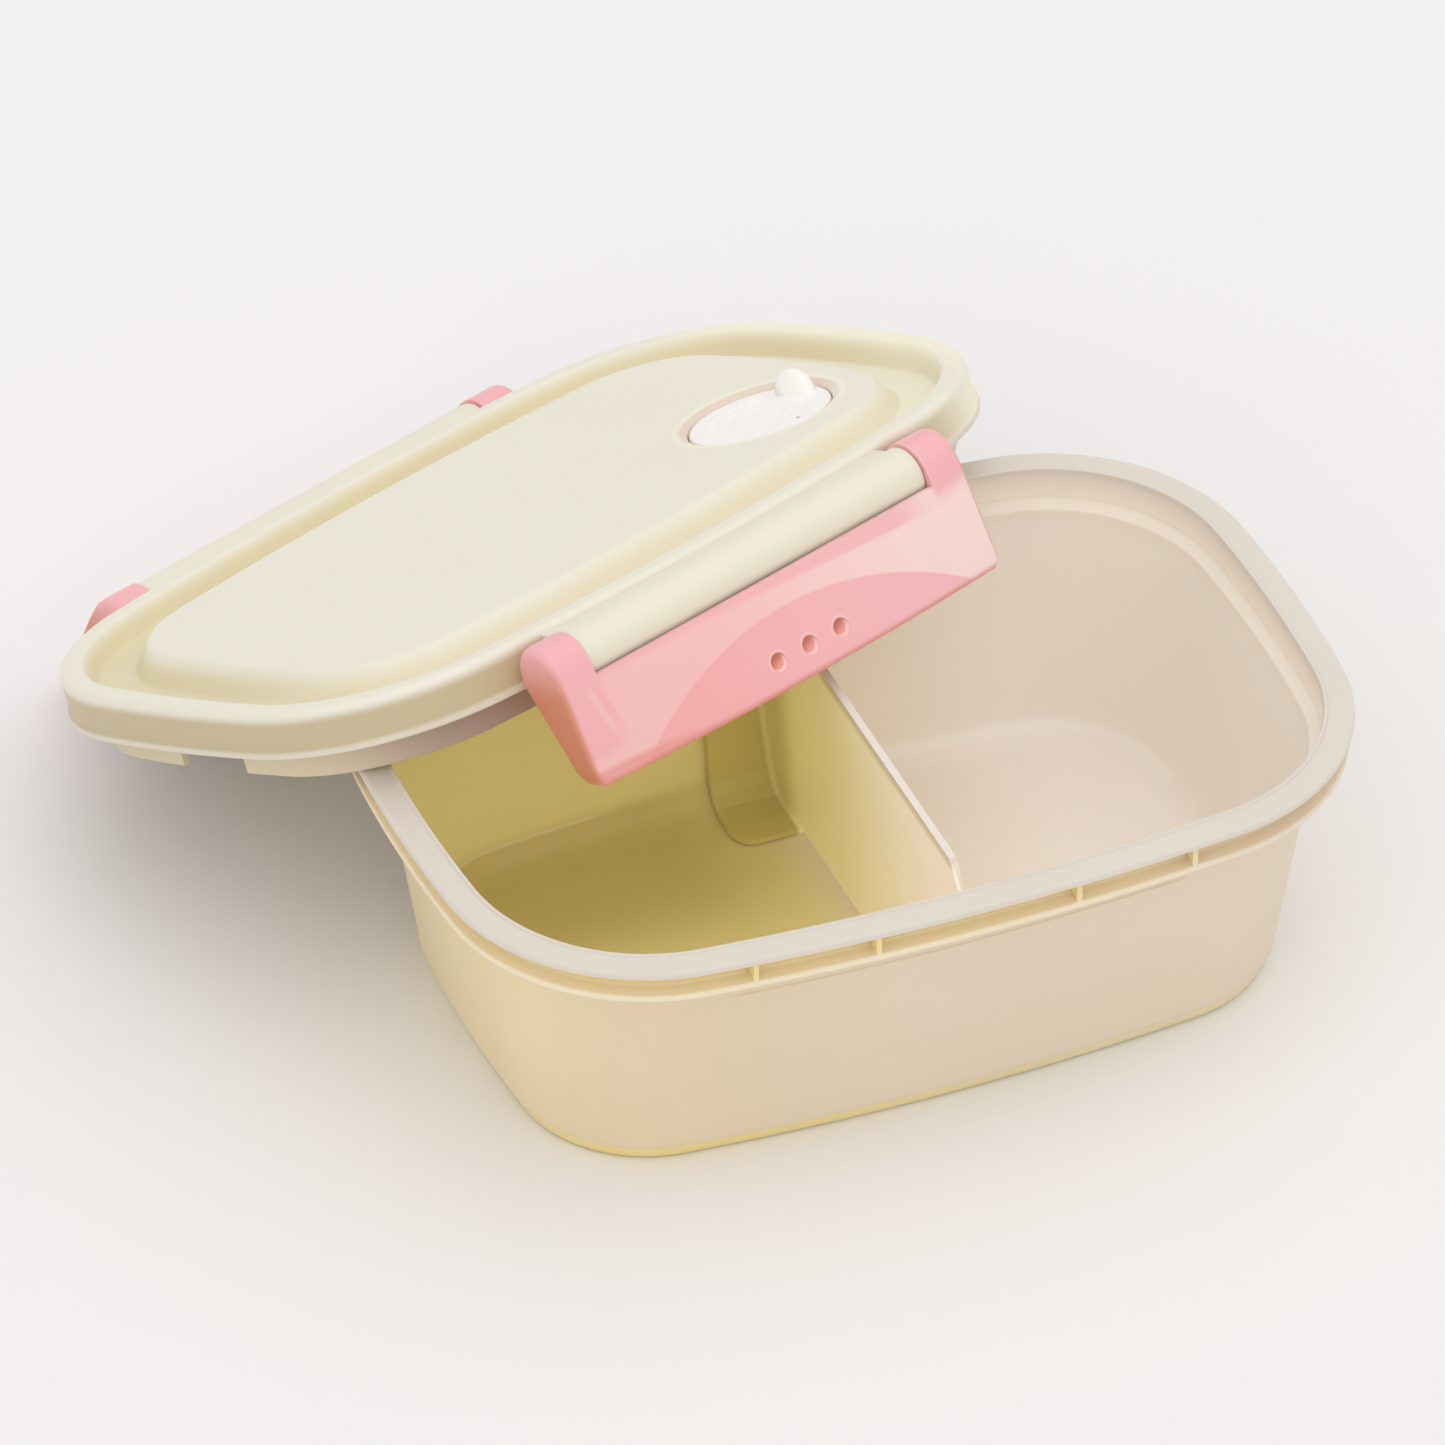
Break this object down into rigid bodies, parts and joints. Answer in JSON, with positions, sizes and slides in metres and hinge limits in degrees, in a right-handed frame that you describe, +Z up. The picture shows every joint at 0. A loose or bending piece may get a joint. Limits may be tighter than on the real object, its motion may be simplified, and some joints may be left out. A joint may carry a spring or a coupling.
{
  "type": "lunch box",
  "caption": "Oblong lunch box with a rounded tapering container, a loose divider, and a lid with a sealing ring, two hinged side latches and a pull-out vent plug",
  "frame": {"origin": "centre of the container's base, on the table", "axes": "+Z up, +X along the container's long side, -Y towards the pictured front side"},
  "size_m": [0.236, 0.2508, 0.0916],
  "materials": {
    "container": "satin cream polypropylene",
    "divider": "satin cream polypropylene",
    "lid": "satin cream polypropylene",
    "seal": "soft silicone rubber",
    "vent": "soft white silicone rubber",
    "latch": "satin pink plastic"
  },
  "bodies": {
    "container": {"container": "container"},
    "divider": {"divider": "divider"},
    "lid": {"lid": "lid", "lid_seal": "seal"},
    "vent_plug": {"vent_plug": "vent"},
    "front_latch": {"front_latch": "latch"},
    "rear_latch": {"rear_latch": "latch"}
  },
  "joints": [
    {"name": "lid_lift", "type": "slide", "parent": "container", "child": "lid", "axis": [0, 0, 1], "range_m": [0, 0.12]},
    {"name": "divider_lift", "type": "slide", "parent": "container", "child": "divider", "axis": [0, 0, 1], "range_m": [0, 0.006]},
    {"name": "vent_pull", "type": "slide", "parent": "lid", "child": "vent_plug", "axis": [-0.1347, 0.4053, 0.9042], "range_m": [0, 0.015]},
    {"name": "front_latch_hinge", "type": "hinge", "parent": "lid", "child": "front_latch", "pos_m": [-0.01312, 0.02639, 0.08428], "axis": [-0.9383, -0.3456, 0.0152], "range_deg": [0, 100]},
    {"name": "rear_latch_hinge", "type": "hinge", "parent": "lid", "child": "rear_latch", "pos_m": [-0.0585, 0.14691, 0.0235], "axis": [0.9383, 0.3456, -0.0152], "range_deg": [-38, 62]}
  ]
}
